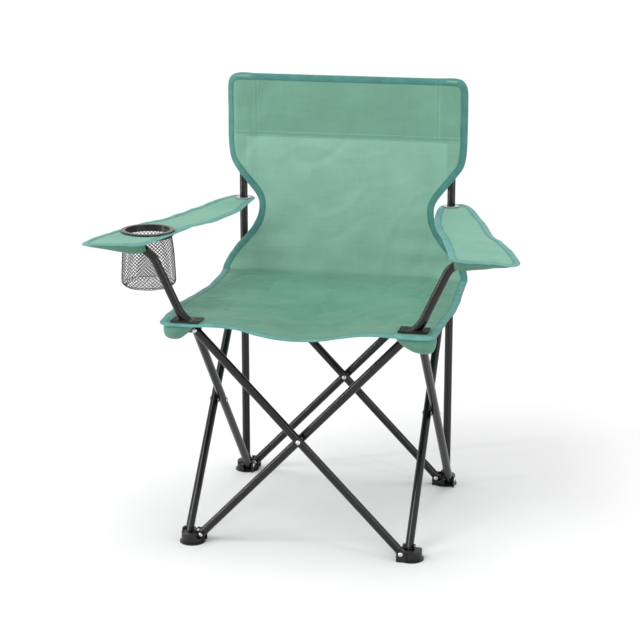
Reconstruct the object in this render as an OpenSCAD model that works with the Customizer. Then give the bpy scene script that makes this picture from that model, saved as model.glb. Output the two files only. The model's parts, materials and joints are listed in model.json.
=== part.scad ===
// Folding camp chair: eight crossed leg tubes that close like an umbrella, two
// sliding rear brackets, sling seat and back, two fabric armrests, one cup holder.
// Millimetres. +X is the chair's left-to-right as seen from the front, -Y is the
// front, +Z is up. The origin is on the floor, under the middle of the whole chair.

/* [Frame] */
// Distance between the corner axes, across and front to back
frame_w = 425; // [400:1:450]
// How far the frame's middle stands behind the origin
frame_shift = 9; // [0:0.5:30]
// Outside diameter of every tube
tube_d = 16; // [15:0.5:17]
// Wall thickness of every tube
tube_wall = 1.2; // [0.8:0.1:2]
// Height of the pivots in the feet
foot_pivot_z = 15; // [14.5:0.5:18]
// Height of the pivots under the seat
top_pivot_z = 421; // [400:1:430]
// Distance of each pivot from its corner axis, along its tube's plane
pivot_in = 18.5; // [18.5:0.5:22]
// Washer between two crossing tubes
washer_t = 1; // [0.8:0.1:2]
// Height of the two rear uprights
upright_top = 826; // [780:1:850]

/* [Fasteners] */
// Diameter of the rivets
rivet_d = 5; // [4:0.5:6]
// Diameter of the rivet heads
head_d = 9; // [8:0.5:10]
// Height of the rivet heads
head_h = 2.5; // [1.5:0.1:3]
// Clearance all round a rivet in a tube that turns on it
running_gap = 0.05; // [0.02:0.01:0.1]

/* [Arms] */
// Angle of the arm posts from upright
post_angle = 25; // [20:1:30]
// Angle of the arm posts' top ends from upright
tip_angle = 52; // [40:1:60]
// Height of the armrests' underside
armrest_z = 578; // [570:1:600]
// Thickness of the armrests
armrest_t = 4; // [3:0.5:8]

/* [Cup holder] */
// Inside radius of the cup ring
cup_r = 42; // [38:0.5:46]
// Depth of the mesh basket below the armrest
basket_depth = 99; // [80:1:130]

/* [Cloth] */
// Thickness of the seat and back cloth with its padding
cloth_t = 2.5; // [2:0.5:6]
// Height of the seat's underside at its corners
seat_z = 435; // [435:0.5:445]
// How far the seat sags in the middle
seat_sag = 22; // [5:1:40]
// Top of the back
back_top = 836; // [832:1:860]

/* [Hidden] */
$fn = 48;
half = frame_w / 2;
front_y = frame_shift - half;
rear_y = frame_shift + half;
tube_r = tube_d / 2;
layer = (tube_d + washer_t) / 2;
span = frame_w - 2 * pivot_in;
rise = top_pivot_z - foot_pivot_z;
leg_len = sqrt(span * span + rise * rise);
lean = atan(span / rise);
cross_z = (foot_pivot_z + top_pivot_z) / 2;
// a tube goes this far past its end pivots
tube_end = 5;
// radius that a tube's end sweeps around its pivot, with room to turn
sweep_r = 10.6;
// room on each side of a tube in its slot
slot_gap = 0.5;
// thickness of the moulded cheeks beside a tube
cheek_t = 2.7;
slot_w = tube_d + 2 * slot_gap;
head_gap = 0.1;
// foot moulding
foot_in = 2.5;
flange_r = 24.4;
flange_h = 3;
cup_wall_r = 21;
foot_h = 26;
cup_wall_h = 19;
// floor of the sockets at the corner axes
socket_z = 5;
// arm posts: straight lengths and bend radii from the top pivot upwards
arm_straight = 36;
arm_bend_r = 40;
post_len = 96;
tip_bend_r = 35;
tip_len = 18;
// a bend's wall is this much fatter on each side, and the straight stretches reach this far into it
bend_extra = 0.12;
bend_bite = 2;
// the corner mouldings under the seat
cap_t = 3;
cap_z = top_pivot_z + sweep_r;
bracket_h = 8;
bracket_wall = 4;
plate_size = [54, 38, 2.4];
steel = "#b9bcc0";
black_tube = "#2b2b2d";
black_plastic = "#1c1c1d";
cloth = "#6ea58c";
basket_colour = "#3a3a3c";

// ---- places -------------------------------------------------------------

// the four corners, turned a quarter each: 0 front left, 1 front right, 2 rear right, 3 rear left
module at_corner(quarter) {
  sx = (quarter == 0 || quarter == 3) ? -1 : 1;
  sy = (quarter < 2) ? -1 : 1;
  translate([sx * half, frame_shift + sy * half, 0]) rotate([0, 0, 90 * quarter]) children();
}

// a leg that leans across the chair, from the left foot (side -1) or the right foot (side 1)
module across(side, y) {
  translate([side * (half - pivot_in), y, foot_pivot_z])
    rotate([0, -side * lean, 0]) children();
}

// a leg that leans along the chair, from the front foot (end -1) or the rear foot (end 1)
module along(end, x) {
  translate([x, frame_shift + end * (half - pivot_in), foot_pivot_z])
    rotate([end * lean, 0, 0]) rotate([0, 0, 90]) children();
}

module both_sides(side) {
  if (side < 0) mirror([1, 0, 0]) children();
  else children();
}

// ---- small shapes -------------------------------------------------------

module y_rod(d, y0, y1) {
  translate([0, y0, 0]) rotate([-90, 0, 0]) cylinder(d = d, h = y1 - y0);
}

module rivet_head() {
  r = (head_d * head_d / 4 + head_h * head_h) / (2 * head_h);
  intersection() {
    translate([0, 0, head_h - r]) sphere(r);
    cylinder(d = head_d, h = head_h);
  }
}

// a rivet along Y whose heads sit outside y0 and y1
module rivet(y0, y1) {
  y_rod(rivet_d, y0, y1);
  translate([0, y0, 0]) rotate([90, 0, 0]) rivet_head();
  translate([0, y1, 0]) rotate([-90, 0, 0]) rivet_head();
}

module cross_rivet() {
  rivet(-layer - tube_r - head_gap, layer + tube_r + head_gap);
}

module cross_washer() {
  t = washer_t - 2 * head_gap;
  difference() {
    y_rod(12, -t / 2, t / 2);
    y_rod(rivet_d, -t, t);
  }
}

// ---- tubes --------------------------------------------------------------

module ring_2d(extra = 0) {
  difference() {
    circle(tube_r + extra);
    circle(tube_r - tube_wall - extra);
  }
}

module straight_tube(h) {
  linear_extrude(h) ring_2d();
}

// a straight stretch of length h that also reaches into the bends at its ends
module between_bends(h) {
  translate([0, 0, -bend_bite]) straight_tube(h + 2 * bend_bite);
}

module pivot_holes() {
  for (z = [0, leg_len / 2, leg_len])
    translate([0, 0, z]) y_rod(rivet_d + 2 * running_gap, -tube_d, tube_d);
}

// a leg along Z with its lower pivot at the origin
module leg_tube() {
  difference() {
    translate([0, 0, -tube_end]) straight_tube(leg_len + 2 * tube_end);
    pivot_holes();
  }
}

// a bend towards -X of angle a; children stand on its far end
module bend(r, a) {
  translate([-r, 0, 0]) rotate([90, 0, 0])
    rotate_extrude(angle = a) translate([r, 0]) ring_2d(bend_extra);
  bend_end(r, a) children();
}

module bend_end(r, a) {
  translate([r * cos(a) - r, 0, r * sin(a)]) rotate([0, -a, 0]) children();
}

// where the arm post's open end is, in a leaning leg's own frame
module at_arm_end() {
  translate([0, 0, leg_len + arm_straight]) bend_end(arm_bend_r, lean - post_angle)
    translate([0, 0, post_len]) mirror([1, 0, 0]) bend_end(tip_bend_r, tip_angle - post_angle)
      translate([0, 0, tip_len]) children();
}

// a front leg that runs on above the seat as an arm post
module arm_tube() {
  difference() {
    union() {
      translate([0, 0, -tube_end]) straight_tube(leg_len + arm_straight + tube_end + bend_bite);
      translate([0, 0, leg_len + arm_straight]) bend(arm_bend_r, lean - post_angle) {
        between_bends(post_len);
        translate([0, 0, post_len]) mirror([1, 0, 0])
          bend(tip_bend_r, tip_angle - post_angle)
            translate([0, 0, -bend_bite]) straight_tube(tip_len + bend_bite);
      }
    }
    pivot_holes();
  }
}

module arm_plug() {
  plug_in = 10;
  plug_out = 2.5;
  at_arm_end() {
    translate([0, 0, -plug_in]) cylinder(r = tube_r - tube_wall, h = plug_in + plug_out / 2);
    cylinder(r1 = tube_r, r2 = tube_r - 1.5, h = plug_out);
  }
}

module upright() {
  translate([0, 0, socket_z]) straight_tube(upright_top - socket_z);
}

module upright_cap() {
  plug_in = 14;
  translate([0, 0, upright_top - plug_in]) cylinder(r = tube_r - tube_wall, h = plug_in + 1);
  translate([0, 0, upright_top]) cylinder(r1 = tube_r, r2 = tube_r - 2, h = 3.5);
}

// ---- mouldings ----------------------------------------------------------

// two cheeks beside a tube whose pivot is at the origin, its axis along Y, opening to +X
module cheeks(x0, z0, z1) {
  for (s = [-1, 1]) {
    y0 = s < 0 ? -slot_w / 2 - cheek_t : slot_w / 2;
    intersection() {
      translate([x0, y0, z0]) cube([bracket_h - x0, cheek_t, z1 - z0]);
      union() {
        y_rod(2 * bracket_h, -2 * slot_w, 2 * slot_w);
        translate([x0 - 1, -2 * slot_w, z0 - 1]) cube([1 - x0, 4 * slot_w, z1 - z0 + 2]);
        translate([x0, -2 * slot_w, z0 - 1]) cube([bracket_h - x0, 4 * slot_w, -z0]);
      }
    }
  }
}

// the room that a tube's end and its leaning stretch need, pivot at the origin, opening to +X
module slot_cut() {
  reach = 3 * tube_d;
  inset = 0.4;
  y_rod(2 * sweep_r, -slot_w / 2, slot_w / 2);
  translate([0, -slot_w / 2, inset - sweep_r]) cube([reach, slot_w, reach]);
  translate([inset - sweep_r, -slot_w / 2, 0]) cube([reach, slot_w, reach]);
}

// the bore and head pockets of a rivet that goes through both cheeks
module rivet_cut(reach = 12) {
  cheek_y = slot_w / 2 + cheek_t;
  y_rod(rivet_d, -cheek_y - 1, cheek_y + 1);
  for (s = [0, 1]) mirror([0, s, 0]) y_rod(head_d + 1, cheek_y, cheek_y + reach);
}

module cheek_rivet() {
  rivet(-slot_w / 2 - cheek_t, slot_w / 2 + cheek_t);
}

// the two pivots that each foot and each slider holds, in that corner's own frame
module at_foot_across() {
  translate([pivot_in, layer, foot_pivot_z]) children();
}

module at_foot_along() {
  translate([-layer, pivot_in, foot_pivot_z]) rotate([0, 0, 90]) children();
}

module at_top_outer() {
  translate([pivot_in, -layer, top_pivot_z]) children();
}

module at_top_inner() {
  translate([layer, pivot_in, top_pivot_z]) rotate([0, 0, 90]) children();
}

// the foot moulding, with a socket at the corner axis for an upright if it has one
module foot(socket) {
  difference() {
    union() {
      translate([foot_in, foot_in, 0]) {
        cylinder(r = flange_r, h = flange_h);
        translate([0, 0, flange_h]) cylinder(r1 = flange_r, r2 = cup_wall_r, h = 1.1);
        cylinder(r = cup_wall_r, h = cup_wall_h);
      }
      at_foot_across() cheeks(-sweep_r, -foot_pivot_z, bracket_h);
      at_foot_along() cheeks(-sweep_r, -foot_pivot_z, bracket_h);
      if (socket) cylinder(r = tube_r + 3, h = foot_h);
    }
    at_foot_across() slot_cut();
    at_foot_along() slot_cut();
    at_foot_across() rivet_cut();
    at_foot_along() rivet_cut();
    translate([0, 0, socket_z]) cylinder(r = socket ? tube_r : 6, h = foot_h);
  }
}

module foot_rivets() {
  at_foot_across() cheek_rivet();
  at_foot_along() cheek_rivet();
}

// a bracket that slides on an upright and holds the tops of two legs
module slider() {
  collar_r = tube_r + 3.5;
  slide_gap = 0.2;
  difference() {
    union() {
      translate([0, 0, top_pivot_z - 14]) cylinder(r = collar_r, h = cap_z + cap_t - top_pivot_z + 14);
      at_top_outer() cheeks(-sweep_r, -bracket_h, sweep_r + cap_t);
      at_top_inner() cheeks(-sweep_r, -bracket_h, sweep_r + cap_t);
      at_top_outer() slider_cap();
      at_top_inner() slider_cap();
    }
    at_top_outer() slider_slot();
    at_top_inner() slider_slot();
    at_top_outer() rivet_cut(3);
    at_top_inner() rivet_cut(3);
    cylinder(r = tube_r + slide_gap, h = upright_top);
  }
}

module slider_cap() {
  w = slot_w + 2 * cheek_t;
  translate([-sweep_r, -w / 2, sweep_r]) cube([sweep_r + bracket_h, w, cap_t]);
}

module slider_slot() {
  translate([-sweep_r, -slot_w / 2, -3 * tube_d]) cube([3 * tube_d, slot_w, sweep_r + 3 * tube_d]);
}

module slider_rivets() {
  at_top_outer() cheek_rivet();
  at_top_inner() cheek_rivet();
}

// the bracket behind the left arm tube: the side tube's top turns between its cheeks
module corner_bracket_left_shape() {
  difference() {
    union() {
      translate([-cheek_t, 0, top_pivot_z - bracket_h - 1])
        cube([pivot_in + bracket_h + cheek_t, bracket_wall, 2 * bracket_h + 2]);
      at_top_inner() cheeks(-pivot_in, -bracket_h, bracket_h);
    }
    at_top_outer() y_rod(rivet_d, 0, 4 * tube_d);
    translate([pivot_in, bracket_wall, top_pivot_z]) y_rod(head_d + 1, 0, 3);
    at_top_inner() y_rod(rivet_d, -tube_d, tube_d);
  }
}

module corner_rivets_left_shape() {
  translate([pivot_in, 0, top_pivot_z]) rivet(-layer - tube_r - head_gap, bracket_wall);
  at_top_inner() cheek_rivet();
}

// the right bracket, in the right front corner's own quarter turn, where the arm tube is the inner one
module corner_bracket_right_shape() {
  back_y = layer + tube_r + slot_gap;
  low = top_pivot_z - bracket_h;
  // the inner cheek stops below the leaning arm tube
  cheek_top = 3.5;
  difference() {
    union() {
      translate([-pivot_in - bracket_h, back_y, low - 1])
        cube([pivot_in + bracket_h, bracket_wall, 2 * bracket_h + 2]);
      translate([-cheek_t, pivot_in - bracket_h + 1.5, low])
        cube([cheek_t, 2 * bracket_h - 2, bracket_h + cheek_top]);
      for (x = [-cheek_t, slot_w]) translate([x, back_y, low])
        cube([cheek_t, bracket_h, cap_z + cap_t - low]);
      translate([slot_w, pivot_in - bracket_h + 1.5, low]) cube([cheek_t, 2 * bracket_h - 2, 2 * bracket_h]);
      translate([-cheek_t, back_y, cap_z]) cube([slot_w + 2 * cheek_t, bracket_h, cap_t]);
    }
    translate([-pivot_in, 0, top_pivot_z]) y_rod(rivet_d, 0, 3 * tube_d);
    translate([layer, pivot_in, top_pivot_z]) rotate([0, 0, 90]) rivet_cut(3);
  }
}

module corner_rivets_right_shape() {
  translate([-pivot_in, 0, top_pivot_z]) rivet(slot_gap - head_gap, layer + tube_r + slot_gap + bracket_wall);
  translate([layer, pivot_in, top_pivot_z]) rotate([0, 0, 90]) cheek_rivet();
}

// the right front corner without the quarter turn
module at_front_right() {
  translate([half, front_y, 0]) children();
}

// the arm tube's line through the seat, on the given side: the left tube is the outer one
module arm_line(side, d) {
  y = side < 0 ? front_y - layer : front_y + layer;
  across(-side, y) cylinder(d = d, h = leg_len + arm_straight + 2 * tube_d);
}

module corner_plate(side) {
  y = (side < 0 ? front_y - layer : front_y + layer) - 1;
  x = side * (half - pivot_in + (seat_z + cloth_t - top_pivot_z) * tan(lean));
  rib_gap = 5.5;
  color(black_plastic) difference() {
    translate([x - plate_size.x / 2, y - plate_size.y / 2, seat_z + cloth_t + 0.3]) {
      cube(plate_size);
      for (s = [0, 1], i = [0:2])
        translate([s * (plate_size.x - 14) + 1 + i * rib_gap, 4, plate_size.z])
          cube([2, plate_size.y - 8, 0.8]);
    }
    arm_line(side, tube_d);
  }
}

// ---- cloth --------------------------------------------------------------

// half of the seat from above, for x above 0
seat_half = [
  [0.2, -232], [120, -236], [200, -244], [240, -245], [254, -240], [260, -226], [261, -180],
  [260, -80], [255, -20], [248, 40], [247, 110], [250, 160], [249, 186], [232, 196], [0.2, 196]
];

// the seat's cross section: flat over the corners, then sloping to the middle
module seat_profile() {
  flat_x = 170;
  centre_z = seat_z - seat_sag;
  polygon([
    [0.2, centre_z], [flat_x, seat_z], [half + 60, seat_z],
    [half + 60, seat_z + cloth_t], [flat_x, seat_z + cloth_t], [0.2, centre_z + cloth_t]
  ]);
}

module seat(side) {
  arm_hole = tube_d + 5;
  color(cloth) difference() {
    both_sides(side) intersection() {
      translate([0, frame_shift, 0]) linear_extrude(2 * seat_z) polygon(seat_half);
      translate([0, half + 60, 0]) rotate([90, 0, 0]) linear_extrude(2 * half + 120) seat_profile();
    }
    arm_line(side, arm_hole);
  }
}

// the cloth pocket that hangs under a front corner
module corner_pocket(side) {
  pocket_y = -237;
  pocket_t = 3;
  color(cloth) both_sides(side) translate([0, frame_shift + pocket_y + pocket_t, 0]) rotate([90, 0, 0])
    linear_extrude(pocket_t) polygon([
      [198, seat_z - 0.4], [256, seat_z - 0.4], [254, 416], [242, 405], [226, 402], [210, 412]
    ]);
}

// half of the back from the front, for x above 0: header, waist and lower wings
back_half = [
  [0, 438], [240, 438], [248, 448], [246, 464], [208, 506], [184, 540], [177, 573],
  [192, 603], [220, 636], [240, 672], [245, 712], [242, 826], [234, 836], [0, 836]
];

module back_panel() {
  header_low = 711;
  sleeve_r = tube_r + 2.4;
  sleeve_gap = 0.4;
  panel_y = half - tube_r - sleeve_gap - cloth_t;
  color(cloth) translate([0, frame_shift, 0]) difference() {
    union() {
      translate([0, panel_y + cloth_t, 0]) rotate([90, 0, 0]) linear_extrude(cloth_t) {
        polygon(back_half);
        mirror([1, 0]) polygon(back_half);
      }
      for (s = [-1, 1]) translate([s * half, half, header_low])
        cylinder(r = sleeve_r, h = back_top - header_low);
    }
    for (s = [-1, 1]) translate([s * half, half, header_low - 1])
      cylinder(r = tube_r + sleeve_gap, h = upright_top + 4.5 - header_low);
  }
}

// ---- armrests and cup holder --------------------------------------------

// a right armrest from above
armrest_outline = [
  [190, 190], [194, 222], [207, 240], [222, 244], [238, 240], [250, 220], [266, 178],
  [298, 90], [330, -30], [365, -120], [395, -205], [400, -240], [394, -258], [380, -262],
  [305, -258], [284, -250], [276, -232], [262, -170], [238, -75], [205, 50], [194, 130]
];
cup_centre = [-310, -130];
// how far the cup ring's collar reaches below the armrest
collar_depth = 6;
// eyelet that each upright goes through: bore, neck and flange radii, and flange thickness
eyelet_bore_r = tube_r + 0.6;
eyelet_neck_r = 12;
eyelet_flange_r = 15.5;
eyelet_flange_t = 1.2;
eyelet_gap = 0.3;

module armrest(side) {
  color(cloth) difference() {
    both_sides(side) translate([0, frame_shift, armrest_z])
      linear_extrude(armrest_t) polygon(armrest_outline);
    if (side < 0) at_cup() cylinder(r = cup_r + 2.6, h = 2 * armrest_z);
    translate([side * half, rear_y, 0]) cylinder(r = eyelet_neck_r + eyelet_gap, h = 2 * armrest_z);
  }
}

// the eyelet that an armrest's rear end slides on its upright with
module armrest_eyelet(side) {
  low = armrest_z - eyelet_gap - eyelet_flange_t;
  top = armrest_z + armrest_t + eyelet_gap;
  color(steel) translate([side * half, rear_y, 0]) difference() {
    union() {
      translate([0, 0, low]) cylinder(r = eyelet_neck_r, h = top - low);
      translate([0, 0, low]) cylinder(r = eyelet_flange_r, h = eyelet_flange_t);
      translate([0, 0, top]) cylinder(r = eyelet_flange_r, h = eyelet_flange_t);
    }
    cylinder(r = eyelet_bore_r, h = 2 * armrest_z);
  }
}

module at_cup() {
  translate([cup_centre.x, frame_shift + cup_centre.y, 0]) children();
}

module cup_ring() {
  flange = 9;
  collar_t = 2.5;
  collar_low = armrest_z - collar_depth;
  top = armrest_z + armrest_t + 0.2;
  color(black_plastic) at_cup() difference() {
    union() {
      translate([0, 0, top]) cylinder(r = cup_r + flange, h = 1);
      translate([0, 0, top + 1]) cylinder(r1 = cup_r + flange, r2 = cup_r + flange - 1.4, h = 1.2);
      translate([0, 0, collar_low]) cylinder(r = cup_r + collar_t, h = top - collar_low);
    }
    cylinder(r = cup_r, h = 2 * armrest_z);
  }
}

module cup_clamp_ring() {
  color(black_plastic) at_cup() translate([0, 0, armrest_z - 3.4]) difference() {
    cylinder(r = cup_r + 7.5, h = 3);
    translate([0, 0, -1]) cylinder(r = cup_r + 2.5, h = 5);
  }
}

module cup_basket() {
  wall = 1.2;
  top_r = cup_r + 2.5 + wall;
  bottom_r = cup_r + 9;
  top = armrest_z - 3.8;
  color(basket_colour) at_cup() difference() {
    translate([0, 0, top - basket_depth]) {
      cylinder(r = bottom_r - 6, h = wall);
      translate([0, 0, wall]) cylinder(r1 = bottom_r - 6, r2 = bottom_r, h = 8);
      translate([0, 0, wall + 8]) cylinder(r1 = bottom_r, r2 = top_r, h = basket_depth - wall - 8);
    }
    translate([0, 0, top - basket_depth + wall]) {
      cylinder(r1 = bottom_r - 6 - wall, r2 = bottom_r - wall, h = 8);
      translate([0, 0, 8]) cylinder(r1 = bottom_r - wall, r2 = top_r - wall, h = basket_depth - wall - 8);
    }
    translate([0, 0, armrest_z - collar_depth]) cylinder(r = cup_r + 2.5, h = 2 * collar_depth);
  }
}

// ---- nodes --------------------------------------------------------------

color(black_plastic) at_corner(0) foot(false);  // foot_front_left
color(black_plastic) at_corner(1) foot(false);  // foot_front_right
color(black_plastic) at_corner(2) foot(true);  // foot_rear_right
color(black_plastic) at_corner(3) foot(true);  // foot_rear_left
color(steel) at_corner(0) foot_rivets();  // foot_rivets_front_left
color(steel) at_corner(1) foot_rivets();  // foot_rivets_front_right
color(steel) at_corner(2) foot_rivets();  // foot_rivets_rear_right
color(steel) at_corner(3) foot_rivets();  // foot_rivets_rear_left
color(black_tube) at_corner(3) upright();  // upright_left
color(black_tube) at_corner(2) upright();  // upright_right
color(black_plastic) at_corner(3) upright_cap();  // upright_cap_left
color(black_plastic) at_corner(2) upright_cap();  // upright_cap_right
color(black_tube) across(1, front_y - layer) mirror([1, 0, 0]) arm_tube();  // front_tube_left_arm
color(black_tube) across(-1, front_y + layer) arm_tube();  // front_tube_right_arm
color(black_tube) across(-1, rear_y + layer) leg_tube();  // rear_tube_outer
color(black_tube) across(1, rear_y - layer) leg_tube();  // rear_tube_inner
color(black_tube) along(-1, -half - layer) leg_tube();  // left_tube_outer
color(black_tube) along(1, -half + layer) leg_tube();  // left_tube_inner
color(black_tube) along(-1, half - layer) leg_tube();  // right_tube_inner
color(black_tube) along(1, half + layer) leg_tube();  // right_tube_outer
color(black_plastic) across(1, front_y - layer) mirror([1, 0, 0]) arm_plug();  // arm_plug_left
color(black_plastic) across(-1, front_y + layer) arm_plug();  // arm_plug_right
color(black_plastic) at_corner(0) corner_bracket_left_shape();  // corner_bracket_left
color(black_plastic) at_front_right() corner_bracket_right_shape();  // corner_bracket_right
color(steel) at_corner(0) corner_rivets_left_shape();  // corner_rivets_left
color(steel) at_front_right() corner_rivets_right_shape();  // corner_rivets_right
color(black_plastic) at_corner(3) slider();  // slider_left
color(black_plastic) at_corner(2) slider();  // slider_right
color(steel) at_corner(3) slider_rivets();  // slider_rivets_left
color(steel) at_corner(2) slider_rivets();  // slider_rivets_right
color(steel) translate([0, front_y, cross_z]) cross_rivet();  // cross_rivet_front
color(steel) translate([0, rear_y, cross_z]) cross_rivet();  // cross_rivet_rear
color(steel) translate([-half, frame_shift, cross_z]) rotate([0, 0, 90]) cross_rivet();  // cross_rivet_left
color(steel) translate([half, frame_shift, cross_z]) rotate([0, 0, 90]) cross_rivet();  // cross_rivet_right
color("white") translate([0, front_y, cross_z]) cross_washer();  // cross_washer_front
color("white") translate([0, rear_y, cross_z]) cross_washer();  // cross_washer_rear
color("white") translate([-half, frame_shift, cross_z]) rotate([0, 0, 90]) cross_washer();  // cross_washer_left
color("white") translate([half, frame_shift, cross_z]) rotate([0, 0, 90]) cross_washer();  // cross_washer_right
corner_plate(-1);  // corner_plate_left
corner_plate(1);  // corner_plate_right
seat(-1);  // seat_left
seat(1);  // seat_right
corner_pocket(-1);  // corner_pocket_left
corner_pocket(1);  // corner_pocket_right
back_panel();
armrest(-1);  // armrest_left
armrest(1);  // armrest_right
armrest_eyelet(-1);  // armrest_eyelet_left
armrest_eyelet(1);  // armrest_eyelet_right
cup_ring();
cup_clamp_ring();
cup_basket();
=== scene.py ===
"""Folding camp chair: cloth, bindings, stitching, cup-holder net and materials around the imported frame."""

import json
import math

import bmesh
import bpy
import numpy as np
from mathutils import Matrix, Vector, noise
from mathutils.geometry import delaunay_2d_cdt


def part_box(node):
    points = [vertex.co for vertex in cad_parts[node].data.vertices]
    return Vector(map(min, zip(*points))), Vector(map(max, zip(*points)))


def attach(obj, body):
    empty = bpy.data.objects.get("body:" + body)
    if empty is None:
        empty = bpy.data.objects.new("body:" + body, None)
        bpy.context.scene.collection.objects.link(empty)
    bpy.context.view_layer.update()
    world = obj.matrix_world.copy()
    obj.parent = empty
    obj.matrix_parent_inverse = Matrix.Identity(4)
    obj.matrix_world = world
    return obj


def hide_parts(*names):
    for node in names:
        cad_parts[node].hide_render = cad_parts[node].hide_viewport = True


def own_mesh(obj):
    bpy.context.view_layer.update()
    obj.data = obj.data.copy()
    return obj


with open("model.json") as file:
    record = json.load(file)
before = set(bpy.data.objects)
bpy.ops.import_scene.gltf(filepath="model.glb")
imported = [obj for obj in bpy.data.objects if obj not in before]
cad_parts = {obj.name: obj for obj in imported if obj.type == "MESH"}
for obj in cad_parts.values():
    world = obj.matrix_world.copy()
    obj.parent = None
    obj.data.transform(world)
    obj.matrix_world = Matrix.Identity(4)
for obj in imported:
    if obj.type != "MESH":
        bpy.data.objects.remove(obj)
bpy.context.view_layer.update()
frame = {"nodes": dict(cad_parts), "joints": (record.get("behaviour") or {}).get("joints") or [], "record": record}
MM = 0.001


# ---- places, from the frame ----------------------------------------------


def centre(node):
    low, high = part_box(node)
    return (low + high) / 2


POST_X = centre("upright_right").x
REAR_Y = centre("upright_right").y
FRONT_Y = centre("cross_washer_front").y
MID_Y = (REAR_Y + FRONT_Y) / 2
BACK_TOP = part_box("back_panel")[1].z
ARM_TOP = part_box("armrest_right")[1].z
CUP = centre("cup_ring")
BASKET_LOW, BASKET_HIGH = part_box("cup_basket")

# the fold: every leg swings by the same angle about its foot's pivot
JOINTS = {j["name"]: j for j in frame["joints"]}

# cloth
CLOTH_T = 1.2 * MM
TAPE_W = 13 * MM
SEAT_TAPE_W = 15 * MM
TAPE_T = 2.8 * MM
GRID = 6 * MM
HEADER_LOW = BACK_TOP - 125 * MM
SLEEVE_SEAM = 189 * MM  # where the header's two layers are sewn together
HAMMOCK_HALF = 168 * MM  # how far from the middle the cloth's sag reaches
POST_NEAR, POST_FAR = 172 * MM, 206 * MM  # where the cloth bends round in front of the uprights
SEAT_REAR = 185 * MM  # the seat's rear edge behind the frame's middle
STITCH_IN = 2 * MM  # how far inside a binding's inner edge its stitches run
STITCH_LIFT = TAPE_T * 0.42


# ---- curves and sheets ---------------------------------------------------


class Curve:
    """A smooth curve of one value against another, through a few given points."""

    def __init__(self, *points, unit=MM):
        self.x, self.y = np.array(points, float).T * unit
        rise = np.diff(self.y) / np.diff(self.x)
        total = rise[:-1] + rise[1:]
        same_way = rise[:-1] * rise[1:] > 0
        inner = np.where(same_way, 2 * rise[:-1] * rise[1:] / np.where(total == 0, 1, total), 0)
        self.slope = np.concatenate([rise[:1], inner, rise[-1:]])

    def __call__(self, x):
        x = np.clip(x, self.x[0], self.x[-1])
        i = np.clip(np.searchsorted(self.x, x) - 1, 0, len(self.x) - 2)
        h = self.x[i + 1] - self.x[i]
        t = (x - self.x[i]) / h
        a = (1 + 2 * t) * (1 - t) ** 2 * self.y[i] + t * (1 - t) ** 2 * h * self.slope[i]
        return a + t**2 * (3 - 2 * t) * self.y[i + 1] + t**2 * (t - 1) * h * self.slope[i + 1]


def ease(x, low, high):
    """0 below low, 1 above high, smooth between."""
    t = np.clip((x - low) / (high - low), 0, 1)
    return t * t * (3 - 2 * t)


def catmull(points, closed):
    """A dense smooth curve through control points."""
    p = np.array(points, float)
    n = len(p)
    out = []
    for i in range(n if closed else n - 1):
        if closed:
            a, b, c, d = p[i - 1], p[i], p[(i + 1) % n], p[(i + 2) % n]
        else:
            a, b, c, d = p[max(i - 1, 0)], p[i], p[i + 1], p[min(i + 2, n - 1)]
        for t in np.linspace(0, 1, 24, endpoint=False):
            out.append(
                0.5
                * (2 * b + (c - a) * t + (2 * a - 5 * b + 4 * c - d) * t**2 + (3 * b - a - 3 * c + d) * t**3)
            )
    if not closed:
        out.append(p[-1])
    return np.array(out)


def resample(path, step, closed=False):
    """Points at even steps along a path."""
    if closed:
        path = np.vstack([path, path[:1]])
    length = np.concatenate([[0], np.cumsum(np.linalg.norm(np.diff(path, axis=0), axis=1))])
    count = max(2, int(round(length[-1] / step)))
    at = np.linspace(0, length[-1], count + 1)
    if closed:
        at = at[:-1]
    return np.stack([np.interp(at, length, path[:, k]) for k in range(path.shape[1])], 1)


def inward(path, closed):
    """Unit normals of an anticlockwise path, to its left, which is the inside."""
    if closed:
        along = np.roll(path, -1, 0) - np.roll(path, 1, 0)
    else:
        along = np.gradient(path, axis=0)
    along /= np.linalg.norm(along, axis=1, keepdims=True)
    return np.stack([-along[:, 1], along[:, 0]], 1)


def inside(points, loop):
    """Which points are inside a closed loop."""
    x, y = points[:, :1], points[:, 1:]
    a, b = loop, np.roll(loop, -1, 0)
    crosses = (a[:, 1] > y) != (b[:, 1] > y)
    run = np.where(b[:, 1] == a[:, 1], 1, b[:, 1] - a[:, 1])
    at = a[:, 0] + (y - a[:, 1]) / run * (b[:, 0] - a[:, 0])
    return (crosses & (x < at)).sum(1) % 2 == 1


def nearest(points, others):
    """Distance from each point to the nearest of the others."""
    return np.sqrt(((points[:, None, :] - others[None, :, :]) ** 2).sum(2)).min(1)


def circle(x, y, radius, count=40):
    turn = np.linspace(0, 2 * math.pi, count, endpoint=False)
    return np.stack([x + radius * np.cos(turn), y + radius * np.sin(turn)], 1)


def ruffle(p, scale, seed):
    """Smooth noise at points p, about -1 to 1."""
    return np.array([noise.noise(Vector((x * scale, y * scale, seed))) for x, y in p])


def creases(p, scale, seed):
    """Narrow soft ridges, 0 to 1, that wander over p."""
    return np.clip(1 - 5 * np.abs(ruffle(p, scale, seed)), 0, 1) ** 2


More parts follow.
